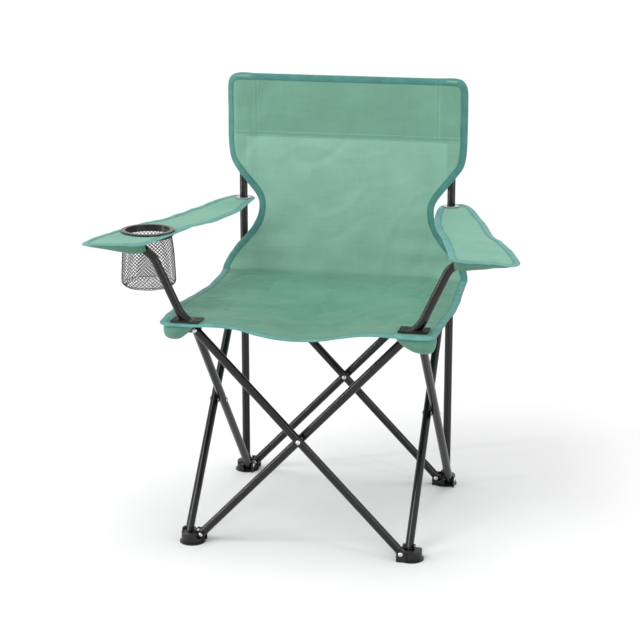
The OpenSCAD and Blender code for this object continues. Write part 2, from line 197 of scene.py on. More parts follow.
class Cloth:
    """A sheet: a flat outline, with holes, laid over a surface in space."""

    def __init__(self, surface, path, closed, holes=(), spacing=GRID):
        self.surface = surface
        self.path = resample(path, 5 * MM, closed)
        self.closed = closed
        outline = self.path
        if not closed:
            joint = resample(np.array([self.path[-1], self.path[0]]), 5 * MM)
            outline = np.vstack([self.path, joint[1:-1]])
        self.outline = outline
        self.holes = [np.array(h) for h in holes]
        self.spacing = spacing

    def at(self, flat, lift=0.0):
        """Points in space, lifted along the surface's normal."""
        flat = np.asarray(flat, float)
        here = self.surface(flat)
        if np.ndim(lift) == 0 and lift == 0:
            return here
        e = 0.5 * MM
        du = self.surface(flat + [e, 0]) - self.surface(flat - [e, 0])
        dv = self.surface(flat + [0, e]) - self.surface(flat - [0, e])
        normal = np.cross(du, dv)
        normal /= np.linalg.norm(normal, axis=1, keepdims=True)
        return here + normal * np.reshape(lift, (-1, 1))

    def sheet(self, name, thickness=CLOTH_T):
        low, high = self.outline.min(0), self.outline.max(0)
        s = self.spacing
        rows = np.arange(low[1] + s / 2, high[1], s * 0.87)
        starts = [low[0] + s * (0.5 if k % 2 else 1.0) for k in range(len(rows))]
        grid = np.array([(x, y) for start, y in zip(starts, rows) for x in np.arange(start, high[0], s)])
        keep = inside(grid, self.outline) & (nearest(grid, self.outline) > 0.6 * s)
        for h in self.holes:
            keep &= ~inside(grid, h) & (nearest(grid, h) > 0.5 * s)
        loops = [self.outline, *self.holes]
        points = np.vstack([*loops, grid[keep]])
        edges, start = [], 0
        for loop in loops:
            n = len(loop)
            edges += [(start + i, start + (i + 1) % n) for i in range(n)]
            start += n
        made = delaunay_2d_cdt([Vector(p) for p in points], edges, [], 0, 1e-7)
        flat = np.array([tuple(v) for v in made[0]])
        faces = np.array(made[2])
        middle = flat[faces].mean(1)
        wanted = inside(middle, self.outline)
        for h in self.holes:
            wanted &= ~inside(middle, h)
        return mesh_object(name, self.at(flat), faces[wanted].tolist(), thickness)

    def band(self, name, offsets, lifts, path=None, closed=None):
        """A tape along the edge: its section is offsets inward and lifts along the normal."""
        path = self.path if path is None else path
        closed = self.closed if closed is None else closed
        side = inward(path, closed)
        pucker = 1 + 0.05 * ruffle(path, 55, 3.1)
        rings = [
            self.at(path + side * a * pucker[:, None], b * (1 + 0.12 * ruffle(path, 90, 7.7)))
            for a, b in zip(offsets, lifts)
        ]
        return sweep(name, np.stack(rings, 1), closed)

    def binding(self, name, width=TAPE_W, thickness=TAPE_T):
        half = thickness / 2
        offsets = [width, 0.55 * width, 0.15 * width, -0.6 * half, 0.15 * width, 0.55 * width, width]
        lifts = [0.55 * half, half, 0.95 * half, 0.0, -0.95 * half, -half, -0.55 * half]
        return self.band(name, offsets, lifts)

    def stitches(self, name, lines, lift):
        """Rows of short threads. Each line is a path on the flat cloth."""
        length, pitch, radius = 3.4 * MM, 4.6 * MM, 0.4 * MM
        bm = bmesh.new()
        for line in lines:
            line = resample(line, pitch / 2)
            ends = self.at(line, lift)
            for a, b in zip(ends[:-1:2], ends[1::2]):
                thread(bm, Vector(a), Vector(b), length, radius)
        return finish_mesh(name, bm)


def thread(bm, a, b, length, radius):
    """One stitch: a short spindle from a towards b."""
    along = (b - a).normalized()
    side = along.orthogonal().normalized()
    up = along.cross(side)
    mid = (a + b) / 2
    turns = [side * math.cos(k * math.pi / 2) + up * math.sin(k * math.pi / 2) for k in range(4)]
    rings = []
    for t, r in ((-0.5, 0.35), (-0.3, 1.0), (0.3, 1.0), (0.5, 0.35)):
        c = mid + along * (t * length)
        rings.append([bm.verts.new(c + turn * radius * r) for turn in turns])
    for p, q in zip(rings, rings[1:]):
        for k in range(4):
            bm.faces.new((p[k], p[(k + 1) % 4], q[(k + 1) % 4], q[k]))
    bm.faces.new(rings[0][::-1])
    bm.faces.new(rings[-1])


def finish_mesh(name, bm):
    bmesh.ops.recalc_face_normals(bm, faces=bm.faces)
    mesh = bpy.data.meshes.new(name)
    bm.to_mesh(mesh)
    bm.free()
    mesh.shade_smooth()
    obj = bpy.data.objects.new(name, mesh)
    bpy.context.scene.collection.objects.link(obj)
    return obj


def mesh_object(name, points, faces, thickness=0.0):
    """An object from points and faces; with a thickness it is a closed sheet centred on them."""
    mesh = bpy.data.meshes.new(name)
    mesh.from_pydata([tuple(p) for p in points], [], faces)
    mesh.update()
    obj = bpy.data.objects.new(name, mesh)
    bpy.context.scene.collection.objects.link(obj)
    if thickness:
        solid = obj.modifiers.new("thickness", "SOLIDIFY")
        solid.thickness = thickness
        solid.offset = 0
        apply_modifiers(obj)
    obj.data.shade_smooth()
    obj.data.set_sharp_from_angle(angle=math.radians(50))
    return obj


def apply_modifiers(obj):
    seen = obj.evaluated_get(bpy.context.evaluated_depsgraph_get())
    mesh = bpy.data.meshes.new_from_object(seen)
    obj.modifiers.clear()
    obj.data = mesh


def sweep(name, rings, closed):
    """A tube through rings of points, capped unless it closes on itself."""
    count, sides, _ = rings.shape
    faces = []
    for i in range(count if closed else count - 1):
        j = (i + 1) % count
        for k in range(sides):
            m = (k + 1) % sides
            faces.append((i * sides + k, i * sides + m, j * sides + m, j * sides + k))
    if not closed:
        faces.append(tuple(range(sides))[::-1])
        faces.append(tuple((count - 1) * sides + k for k in range(sides)))
    obj = mesh_object(name, rings.reshape(-1, 3), faces)
    bm = bmesh.new()
    bm.from_mesh(obj.data)
    bmesh.ops.recalc_face_normals(bm, faces=bm.faces)
    bm.to_mesh(obj.data)
    bm.free()
    return obj


def cut(obj, point, normal, name_before, name_after):
    """Splits obj at a plane into the part before it and the part after it, both closed."""
    halves = []
    for name, clear_outer in ((name_before, True), (name_after, False)):
        bm = bmesh.new()
        bm.from_mesh(obj.data)
        geom = bm.verts[:] + bm.edges[:] + bm.faces[:]
        cleared = {"clear_outer": clear_outer, "clear_inner": not clear_outer}
        made = bmesh.ops.bisect_plane(bm, geom=geom, plane_co=point, plane_no=normal, **cleared)
        edges = [e for e in made["geom_cut"] if isinstance(e, bmesh.types.BMEdge) and e.is_boundary]
        if edges:
            bmesh.ops.holes_fill(bm, edges=edges)
        mesh = bpy.data.meshes.new(name)
        bm.to_mesh(mesh)
        bm.free()
        half = bpy.data.objects.new(name, mesh)
        bpy.context.scene.collection.objects.link(half)
        half.data.shade_smooth()
        half.data.set_sharp_from_angle(angle=math.radians(50))
        for m in obj.data.materials:
            half.data.materials.append(m)
        halves.append(half)
    bpy.data.objects.remove(obj)
    return halves


def area_of(obj):
    """The cloth's own area: half the surface of its closed sheet."""
    bm = bmesh.new()
    bm.from_mesh(obj.data)
    total = sum(f.calc_area() for f in bm.faces) / 2
    bm.free()
    return total


def mirrored(path, side):
    """A flat path for the left (-1) or right (1) side, kept anticlockwise."""
    path = np.array(path, float)
    if side < 0:
        path = (path * [-1, 1])[::-1]
    return path


# ---- materials -----------------------------------------------------------


def linear(*rgb):
    """A colour in linear light from the usual 0 to 255 screen values."""
    return tuple(((c / 255 + 0.055) / 1.055) ** 2.4 if c > 10 else c / 255 / 12.92 for c in rgb) + (1.0,)


class Shader:
    """A short way to build a material's nodes."""

    def __init__(self, name, color, roughness, **sockets):
        self.material = bpy.data.materials.new(name)
        self.material.use_nodes = True
        self.tree = self.material.node_tree
        self.bsdf = self.tree.nodes["Principled BSDF"]
        self.bsdf.inputs["Base Color"].default_value = color
        self.bsdf.inputs["Roughness"].default_value = roughness
        for key, value in sockets.items():
            self.bsdf.inputs[key.replace("_", " ")].default_value = value
        self.place = self.tree.nodes.new("ShaderNodeTexCoord").outputs["Object"]

    def node(self, kind, **values):
        n = self.tree.nodes.new("ShaderNode" + kind)
        for key, value in values.items():
            if hasattr(n, key):
                setattr(n, key, value)
            else:
                self.set(n.inputs[key.replace("_", " ")], value)
        return n

    def set(self, socket, value):
        if isinstance(value, bpy.types.NodeSocket):
            self.tree.links.new(value, socket)
        else:
            socket.default_value = value

    def stretched(self, x, y, z):
        n = self.node("Mapping", vector_type="POINT")
        self.set(n.inputs["Vector"], self.place)
        n.inputs["Scale"].default_value = (x, y, z)
        return n.outputs["Vector"]

    def noise(self, vector, scale, detail=3.0):
        return self.node("TexNoise", Vector=vector, Scale=scale, Detail=detail).outputs["Fac"]

    def bands(self, direction, pitch):
        """Threads of one direction: 0 to 1, pitch metres apart."""
        spread = self.node("VectorMath", operation="DOT_PRODUCT")
        self.set(spread.inputs[0], self.place)
        spread.inputs[1].default_value = Vector(direction) * (2 * math.pi / pitch)
        wave = self.math("SINE", spread.outputs["Value"], 0.0)
        return self.math("MULTIPLY_ADD", wave, 0.5, 0.5)

    def math(self, operation, a, b, c=None, clamp=False):
        n = self.tree.nodes.new("ShaderNodeMath")
        n.operation = operation
        n.use_clamp = clamp
        for socket, value in zip(n.inputs, (a, b, c)):
            if value is not None:
                self.set(socket, value)
        return n.outputs[0]

    def between(self, value, low, high):
        n = self.node("MapRange", interpolation_type="SMOOTHSTEP")
        self.set(n.inputs["Value"], value)
        n.inputs["From Min"].default_value = low
        n.inputs["From Max"].default_value = high
        return n.outputs["Result"]

    def mix(self, factor, a, b):
        n = self.tree.nodes.new("ShaderNodeMix")
        n.data_type = "RGBA"
        self.set(n.inputs[0], factor)
        self.set(n.inputs[6], a)
        self.set(n.inputs[7], b)
        return n.outputs[2]

    def color(self, value):
        self.set(self.bsdf.inputs["Base Color"], value)

    def roughness(self, value):
        self.set(self.bsdf.inputs["Roughness"], value)

    def bump(self, height, distance, strength=1.0):
        previous = self.bsdf.inputs["Normal"]
        n = self.node("Bump", Height=height, Distance=distance, Strength=strength)
        if previous.is_linked:
            self.set(n.inputs["Normal"], previous.links[0].from_socket)
        self.set(previous, n.outputs["Normal"])


def split(shader):
    n = shader.node("SeparateXYZ")
    shader.set(n.inputs[0], shader.place)
    return n.outputs


def cloth_material(name, light, dark, header=False, seat=False):
    """Plain-woven polyester: fine threads both ways, slubs, soft mottling and a dusty sheen.

    header: the back's cloth, with painted shade where it has two layers or lies over a post, where less light
    shines through it, and painted shade towards the bottom and along the crease.
    seat: the seat's cloth, with painted shade that darkens it towards its front edge.
    """
    s = Shader(name, light, 0.82, Sheen_Weight=0.12, Sheen_Roughness=0.5)
    mottle = s.noise(s.stretched(14, 14, 14), 1.0, 4.0)
    slub_x = s.noise(s.stretched(18, 420, 420), 1.0, 2.0)
    slub_y = s.noise(s.stretched(420, 18, 18), 1.0, 2.0)
    slub = s.math("ADD", slub_x, slub_y)
    shade = s.math("MULTIPLY_ADD", s.between(mottle, 0.3, 0.72), 0.55, 0.0)
    shade = s.math("MULTIPLY_ADD", s.between(slub, 0.7, 1.3), 0.35, shade, clamp=True)
    tone = s.mix(shade, light, dark)
    if header:
        x, _, z = split(s)
        # painted shade: the back's colours scaled darker, for the header's two layers and the posts behind, which
        # let less light through
        painted_shade_scale = (0.61, 0.71, 0.65)
        tone_shaded = s.mix(shade, *[(*(a * b for a, b in zip(c, painted_shade_scale)), 1.0) for c in (light, dark)])
        across = s.math("ABSOLUTE", x, 0.0)
        # painted shadow: darker where the cloth lies over an upright, which blocks the light from behind, and out
        # to the edge
        post_shadow = s.math("MULTIPLY", s.between(across, 201 * MM, 206 * MM), 0.55)
        # painted shade: darker towards the bottom of the back, from z 0.76 down to 0.46
        lower_back_shade = s.math("MULTIPLY", s.between(z, 0.76, 0.46), 0.45)
        # painted shade: darkest at the crease with the seat and just above it
        crease_shade = s.math("MULTIPLY", s.between(z, 0.452, 0.434), 0.95)
        low = s.math("MAXIMUM", lower_back_shade, crease_shade)
        # painted shade: the strongest of the post, lower-back and crease darkening blends in the shaded colours
        tone = s.mix(s.math("MAXIMUM", post_shadow, low), tone, tone_shaded)
        # painted shade over the whole header, from HEADER_LOW up
        tone = s.mix(s.between(z, HEADER_LOW - 1.5 * MM, HEADER_LOW + 0.5 * MM), tone, tone_shaded)
    if seat:
        # painted shade: the seat's colours at 80 %, blended in from y 0.16 down to -0.24, towards the front edge
        front = [(*(0.8 * a for a in c[:3]), 1.0) for c in (light, dark)]
        tone = s.mix(s.between(split(s)[1], 0.16, -0.24), tone, s.mix(shade, *front))
    s.color(tone)
    warp = s.bands((1, 0, 0), 1.1 * MM)
    weft = s.bands((0, 1, 1), 1.1 * MM)
    weave = s.math("MULTIPLY", warp, weft)
    s.bump(weave, 0.15 * MM, 0.5)
    s.bump(slub, 0.25 * MM, 0.5)
    s.bump(s.noise(s.stretched(26, 26, 26), 1.0, 3.0), 3 * MM, 0.6)
    s.roughness(s.math("MULTIPLY_ADD", weave, 0.12, 0.74))
    return s.material


def tape_material(name, light, dark):
    """Grosgrain binding tape: fine cross ribs and soft mottling."""
    s = Shader(name, light, 0.7, Sheen_Weight=0.1, Sheen_Roughness=0.4)
    mottle = s.noise(s.stretched(55, 55, 55), 1.0, 3.0)
    ribs = s.bands((1, 1, 1), 1.6 * MM)
    s.color(s.mix(s.between(mottle, 0.32, 0.7), light, dark))
    s.bump(ribs, 0.2 * MM, 0.5)
    s.bump(mottle, 1.2 * MM, 0.4)
    s.roughness(s.math("MULTIPLY_ADD", ribs, 0.15, 0.6))
    return s.material


def thread_material(name, light, dark):
    s = Shader(name, light, 0.6, Sheen_Weight=0.15)
    twist = s.bands((1, 1, 1), 0.8 * MM)
    s.color(s.mix(twist, dark, light))
    s.bump(twist, 0.1 * MM, 0.6)
    return s.material


def tube_material():
    """Black powder coat: orange peel, a little unevenness in its gloss, dust in the peel."""
    s = Shader("black_powder_coat", linear(14, 14, 14), 0.16, Specular_IOR_Level=0.4)
    peel = s.noise(s.stretched(420, 420, 420), 1.0, 2.0)
    wide = s.noise(s.stretched(9, 9, 9), 1.0, 3.0)
    s.color(s.mix(s.between(wide, 0.35, 0.7), linear(12, 12, 12), linear(20, 20, 20)))
    s.bump(peel, 0.12 * MM, 0.35)
    s.roughness(s.math("MULTIPLY_ADD", wide, 0.14, 0.08))
    return s.material


def plastic_material(name, light, dark, roughness):
    """Moulded nylon: fine spark texture and faint flow marks."""
    s = Shader(name, light, roughness, Specular_IOR_Level=0.4)
    grain = s.noise(s.stretched(700, 700, 700), 1.0, 2.0)
    flow = s.noise(s.stretched(60, 60, 20), 1.0, 3.0)
    s.color(s.mix(s.between(flow, 0.35, 0.7), light, dark))
    s.bump(grain, 0.12 * MM, 0.5)
    s.roughness(s.math("MULTIPLY_ADD", grain, 0.2, roughness - 0.1))
    return s.material


def steel_material():
    """Zinc-plated steel: a soft cloudy plating."""
    s = Shader("plated_steel", linear(196, 198, 200), 0.3, Metallic=0.9)
    cloud = s.noise(s.stretched(240, 240, 240), 1.0, 3.0)
    s.color(s.mix(cloud, linear(172, 174, 176), linear(222, 223, 224)))
    s.bump(cloud, 0.08 * MM, 0.4)
    s.roughness(s.math("MULTIPLY_ADD", cloud, 0.25, 0.2))
    return s.material


def net_material():
    s = Shader("black_net", linear(20, 20, 21), 0.5, Specular_IOR_Level=0.35)
    twist = s.bands((1, 1, 2), 1.4 * MM)
    s.color(s.mix(twist, linear(14, 14, 15), linear(30, 30, 31)))
    s.bump(twist, 0.1 * MM, 0.5)
    return s.material


# painted light: the back's green is set lighter than the seat's, for the light that shines through its single
# layer
CLOTH = cloth_material("green_cloth", linear(127, 170, 152), linear(115, 158, 140), header=True)
SEAT_CLOTH = cloth_material("green_seat_cloth", linear(88, 143, 122), linear(73, 130, 107), seat=True)
# painted light: a lighter copy of the seat's green, for the brighter sheen on the armrests
ARM_CLOTH = cloth_material("green_arm_cloth", linear(101, 154, 134), linear(87, 141, 121))
# painted shade: a darker copy of the armrests' green for the pockets under them, which hang in shade
POCKET_CLOTH = cloth_material("green_pocket_cloth", linear(72, 122, 102), linear(58, 108, 90))
TAPE = tape_material("teal_tape", linear(64, 124, 116), linear(54, 113, 106))
EDGE_TAPE = tape_material("light_teal_tape", linear(84, 144, 137), linear(72, 130, 123))
THREAD = thread_material("pale_thread", linear(156, 205, 188), linear(124, 180, 162))
# teal thread on the bindings, set darker than the tape as painted shade: the shadow line along each binding's
# inner edge
TAPE_THREAD_AND_EDGE_SHADOW = thread_material("teal_thread_and_edge_shadow", linear(46, 102, 94), linear(30, 80, 74))
TUBE = tube_material()
PLASTIC = plastic_material("black_nylon", linear(14, 14, 14), linear(22, 22, 22), 0.38)
RING = plastic_material("dark_ring_plastic", linear(28, 28, 29), linear(44, 44, 44), 0.24)
WHITE = plastic_material("white_nylon", linear(205, 205, 200), linear(190, 190, 186), 0.5)
STEEL = steel_material()
NET = net_material()

BY_SLOT = {
    "black_tube": TUBE,
    "black_plastic": PLASTIC,
    "rivet_steel": STEEL,
    "nylon": WHITE,
    "cup_plastic": RING,
    "mesh": NET,
    "cloth": CLOTH,
    "armrest_cloth": ARM_CLOTH,
}


def paint(obj, material):
    obj.data.materials.clear()
    obj.data.materials.append(material)
    return obj


def paint_frame():
    """Every CAD node that stays shown gets its real material."""
    for row in frame["record"]["subparts"]:
        obj = frame["nodes"][row["node"]]
        obj.data.materials.clear()
        obj.data.materials.append(BY_SLOT[row["material_slot"]])


# ---- the back ------------------------------------------------------------

BACK_HALF = [
    (251, 435.4), (250, 445), (246, 455), (240, 466), (234, 474), (225, 487), (210, 503), (193, 524),
    (181, 548), (178, 573), (184, 592), (201, 615), (221, 640), (236, 662), (241, 690), (242, 730),
    (242, 790), (241, 814), (236, 827), (225, 834), (205, 835.8), (120, 835.8),
]  # right half of the back from the front, bottom to top: x, z
BACK_DEPTH = Curve(
    (437, 194), (450, 197.5), (475, 202), (520, 206), (573, 208), (650, 207), (711, 205.5), (836, 205)
)  # how far the middle of the back stands behind the frame's middle, against height
WING_DEPTH = Curve((437, 185), (445, 193), (456, 199), (472, 201.9), (500, 201.9))


def crease_drop(x):
    """How far the seam between seat and back hangs below its ends."""
    return 11 * MM * 0.5 * (1 + np.cos(np.pi * np.clip(np.abs(x) / HAMMOCK_HALF, 0, 1)))


def crease_y(x):
    """Where that seam runs: behind in the middle, in front of the sliders at its ends."""
    return MID_Y + 194 * MM - 9 * MM * ease(np.abs(x), POST_NEAR, POST_FAR)


def back_surface(p, behind=False):
    """The back's middle surface: flat between the uprights, in front of them at the sides."""
    x, z = p[:, 0], p[:, 1]
    across = np.abs(x)
    middle = MID_Y + BACK_DEPTH(z)
    front_of_post = REAR_Y - 10.6 * MM + WING_DEPTH(z) - WING_DEPTH(0.6)
    y = middle + (front_of_post - middle) * ease(across, POST_NEAR, POST_FAR)
    y = y + 12 * MM * ease(across, 219 * MM, 250 * MM) * ease(z, 0.45, 0.50)
    fold = 2.4 * MM * ruffle(p * [1.5, 0.7], 9, 1.3) + 0.9 * MM * ruffle(p, 26, 4.2)
    fold = fold + 1.6 * MM * creases(p * [1.0, 0.8], 7, 5.9) - 1.0 * MM * creases(p, 11, 8.3)
    tension = 2.2 * MM * np.sin((z - 0.44) * 95 + 4 * across + ruffle(p, 8, 9.1))
    tension = tension * ease(-np.abs(z - 0.49), -0.06, -0.01)
    free = ease(BACK_TOP - z, 0, 40 * MM) * ease(z, 0.437, 0.46)
    y = y + (fold + tension * ease(across, 60 * MM, 150 * MM) * ease(-across, -210 * MM, -180 * MM)) * free
    y = y + 9 * MM * ease(z, BACK_TOP - 7 * MM, BACK_TOP) * ease(across, 180 * MM, POST_FAR)
    if behind:
        bulge = ease(across, SLEEVE_SEAM, POST_FAR) * (1 - ease(across, 219 * MM, 243 * MM))
        bulge = bulge * (1 - 0.85 * ease(z, BACK_TOP - 7 * MM, BACK_TOP))
        y = y + 2.2 * MM + (2 * (REAR_Y - front_of_post) - 2.2 * MM) * bulge
        y = np.where((across > POST_X) & (z < BACK_TOP - 7 * MM), np.maximum(y, MID_Y + 212 * MM), y)
    return np.stack([x, y, z - crease_drop(x) * (1 - ease(z, 0.437, 0.50))], 1)


def both_halves(half):
    """A path up the right half and down the left one."""
    half = np.array(half, float) * MM
    return np.vstack([half, (half * [-1, 1])[::-1]])


def line(*points):
    return np.array(points, float)


def offset_path(path, distance, closed=False):
    return path + inward(path, closed) * distance


def make_back():
    path = catmull(both_halves(BACK_HALF), False)
    back = Cloth(back_surface, path, False)
    rear = Cloth(lambda p: back_surface(p, True), header_path(), False)
    seam_x, top = SLEEVE_SEAM, BACK_TOP - 11 * MM
    edge = offset_path(back.path, TAPE_W - STITCH_IN)
    lines = []
    for side in (-1, 1):
        for x in (seam_x - 10 * MM, seam_x - 1 * MM):
            lines.append(line((side * x, HEADER_LOW + 6 * MM), (side * x, top)))
    for z in (HEADER_LOW + 1.5 * MM, HEADER_LOW + 9.5 * MM):
        lines.append(line((-229 * MM, z), (229 * MM, z)))
    parts = [
        (paint(back.sheet("back_cloth"), CLOTH), "cloth"),
        (paint(back.binding("back_binding"), TAPE), "binding"),
        (paint(back.stitches("back_stitches", [edge], STITCH_LIFT), TAPE_THREAD_AND_EDGE_SHADOW), "stitches"),
        (paint(back.stitches("header_stitches", lines, CLOTH_T * 0.6), THREAD), "header"),
        (paint(rear.sheet("header_rear_cloth"), CLOTH), "rear"),
    ]
    split_at = Vector((SLEEVE_SEAM, 0, 0))
    right_on = Vector((1, 0, 0))
    made = {}
    for obj, kind in parts:
        base = obj.name
        inner, right = cut(obj, split_at, right_on, base + "_inner", base + "_right")
        left, middle = cut(inner, -split_at, right_on, base + "_left", base + "_middle")
        for part, where in ((left, "left"), (middle, "middle"), (right, "right")):
            made[kind, where] = part
    return made


def header_path():
    """The header's rear layer, anticlockwise from its lower right corner."""
    above = BACK_HALF[[z for _, z in BACK_HALF].index(730):]
    return catmull(both_halves([(241.5, HEADER_LOW / MM), *above]), False)


# ---- the seat ------------------------------------------------------------

SEAT_LEFT = [
    (251, 185), (248, 140), (248, 66), (255, 26), (260, -14), (265, -82), (263, -150), (260, -195),
    (258, -232), (250, -244), (228, -246), (190, -245), (120, -241), (0, -238),
]  # the seat's edge from above, from the rear left corner to the front's middle: distance left, y
SEAT_RIGHT = [
    (120, -241), (190, -245), (230, -246), (249, -243), (255, -232), (256, -165), (256, -90), (259, -40),
    (257, 50), (255, 75), (252, 150), (251, 185),
]  # and on to the rear right corner: x, y
SEAT_SIDE_Z = Curve((-250, 436.4), (-200, 436.6), (-120, 433), (0, 431), (110, 433), (160, 435), (185, 437))
SEAT_SAG = Curve((-250, 22), (-200, 25), (-100, 26), (0, 24), (110, 18), (160, 13), (185, 11))


def seat_surface(p):
    """The seat's middle surface: flat round its front corners, a hammock between them."""
    x, y = p[:, 0], p[:, 1] - MID_Y
    across = np.abs(x)
    hang = 0.5 * (1 + np.cos(np.pi * np.clip(across / HAMMOCK_HALF, 0, 1)))
    z = SEAT_SIDE_Z(y) - SEAT_SAG(y) * hang - CLOTH_T / 2
    z = z - 4 * MM * ease(-y, 238 * MM, 247 * MM)
    away = ease(np.hypot(across - 190 * MM, y + 218 * MM), 46 * MM, 90 * MM)
    turned = np.stack([0.9 * p[:, 0] + 0.35 * p[:, 1], p[:, 1] - 0.25 * p[:, 0]], 1)
    fold = 5.5 * MM * ruffle(turned * [0.6, 1.5], 10, 6.3) + 3.0 * MM * ruffle(turned * [0.7, 1.4], 24, 2.2)
    fold = fold + 4.2 * MM * creases(turned * [0.5, 1.2], 10, 3.7)
    fold = fold - 3.0 * MM * creases(turned * [0.8, 0.9], 15, 7.2)
    fold = fold + 3.2 * MM * ruffle(turned * [0.35, 1.0], 34, 8.1)
    settled = (1 - ease(y, 0.14, SEAT_REAR)) * (1 - 0.75 * ease(across, 205 * MM, 245 * MM))
    z = z + fold * away * settled * (0.35 + 0.65 * ease(y, -0.24, -0.19))
    y_out = p[:, 1] + (crease_y(x) - MID_Y - SEAT_REAR) * ease(y, 0.05, SEAT_REAR)
    return np.stack([x, y_out, z], 1)


def arm_hole(side):
    """Where the arm post comes through the seat, with room round it."""
    low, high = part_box("corner_plate_left" if side < 0 else "corner_plate_right")
    x, y = (low.x + high.x) / 2, (low.y + high.y) / 2 + 1 * MM
    turn = np.linspace(0, 2 * math.pi, 36, endpoint=False)
    return np.stack([x + 13.5 * MM * np.cos(turn), y + 10 * MM * np.sin(turn)], 1)


def make_seat():
    control = np.vstack([np.array(SEAT_LEFT, float) * [-1, 1], np.array(SEAT_RIGHT, float)]) * MM + [0, MID_Y]
    path = catmull(control, False)
    seat = Cloth(seat_surface, path, False, [arm_hole(-1), arm_hole(1)])
    edge = offset_path(seat.path, SEAT_TAPE_W - STITCH_IN)
    parts = [
        (paint(seat.sheet("seat_cloth"), SEAT_CLOTH), "cloth"),
        (paint(seat.binding("seat_binding", SEAT_TAPE_W), EDGE_TAPE), "binding"),
        (paint(seat.stitches("seat_stitches", [edge], STITCH_LIFT), TAPE_THREAD_AND_EDGE_SHADOW), "stitches"),
    ]
    made = {}
    for obj, kind in parts:
        base = obj.name
        left, right = cut(obj, Vector((0, 0, 0)), Vector((1, 0, 0)), base + "_left", base + "_right")
        for part, where in ((left, "left"), (right, "right")):
            made[kind, where] = part
    return made


def corner_pocket(side):
    """The pocket under a front corner: a short skirt that curls under, deepest near the corner."""
    start, first, second = (198, 4, 17) if side < 0 else (183, 1, 20)
    plan = [(start, -238), (215, -240.5), (234, -241), (246, -237), (252, -224), (250, -204)]
    plan = resample(catmull(np.array(plan) * MM, False), 3 * MM)
    plan = plan * [side, 1] + [0, MID_Y]
    n, rows = len(plan), 10
    depth = Curve((0, first), (200, second), (450, 31), (700, 33), (1000, 8))
    points = []
    for k, (x, y) in enumerate(plan):
        d = depth(k / (n - 1))
        for j in range(rows + 1):
            t = j / rows
            belly = math.sin(math.pi * min(t * 1.2, 1)) * 3.5 * MM
            out = belly * 0.4 - 9 * MM * t**2.5
            back = 15 * MM * t**2.5 - belly
            points.append((x + side * out, y + back, 434 * MM - d * (1 - (1 - t) ** 1.6)))
    faces = []
    for k in range(n - 1):
        for j in range(rows):
            a = k * (rows + 1) + j
            faces.append((a, a + 1, a + rows + 2, a + rows + 1))
    return mesh_object(f"corner_pocket_cloth_{WORD[side]}", points, faces, CLOTH_T)


# ---- the armrests --------------------------------------------------------

WORD = {-1: "left", 1: "right"}
ARMREST = [
    (190, 190), (192, 222), (204, 240), (221, 244), (238, 239), (252, 216), (268, 172), (298, 88), (328, -25),
    (362, -112), (392, -200), (400, -238), (394, -256), (378, -261.5), (330, -260), (300, -257), (283, -249),
    (275, -230), (262, -170), (240, -80), (208, 45), (194, 125),
]  # a right armrest from above, from its rear end round the outside: x, y from the frame's middle
ARM_SPLIT_Y = MID_Y - 66 * MM


def armrest_surface(side):
    def surface(p):
        x, y = p[:, 0], p[:, 1] - MID_Y
        across = side * x
        z = np.full(len(p), ARM_TOP - 2.0 * MM)
        sag = ease(y, -75 * MM, 20 * MM) * (1 - ease(y, 120 * MM, 185 * MM))
        z = z - 5 * MM * sag
        droop = ease(across, 345 * MM, 402 * MM) * ease(-y, 150 * MM, 240 * MM)
        z = z - 2.5 * MM * droop
        near_cup = ease(np.hypot(x - CUP.x, p[:, 1] - CUP.y), 52 * MM, 80 * MM)
        fold = 1.5 * MM * ruffle(p, 16, 5.1 + side) + 0.5 * MM * ruffle(p, 45, 2.9)
        fold = fold + 1.2 * MM * creases(p, 10, 4.4 + side)
        z = z + fold * near_cup * (1 - ease(y, 150 * MM, 190 * MM))
        return np.stack([x, p[:, 1], z], 1)

    return surface


def underside_pocket(side, cloth):
    """The pocket under an armrest's front end, which the arm post's end sits in."""
    sewn = [(394, -246), (390, -256), (378, -260.5), (330, -259), (296, -255), (286, -247), (283, -236)]
    flat = np.array([*sewn, (285, -200), (340, -198), (380, -208)], float)
    flat = mirrored(flat[::-1] * MM, side) + [0, MID_Y]
    edge = resample(catmull(np.array(sewn, float) * MM, False), 4 * MM) * [side, 1] + [0, MID_Y]
    depth = Curve((284, 21), (300, 18), (350, 10), (392, 2))

    def surface(p):
        near = np.clip((nearest(p, edge) - 2.5 * MM) / (12 * MM), 0, 1)
        drop = depth(side * p[:, 0]) * (1 - (1 - near) ** 2)
        top = cloth.at(p)
        top[:, 2] -= 0.9 * MM + drop
        return top

    loop = resample(flat, 5 * MM, True)
    if np.cross(loop[1] - loop[0], loop[2] - loop[1]) < 0:
        loop = loop[::-1]
    pocket = Cloth(surface, loop, True)
    return pocket.sheet(f"armrest_pocket_cloth_{WORD[side]}")


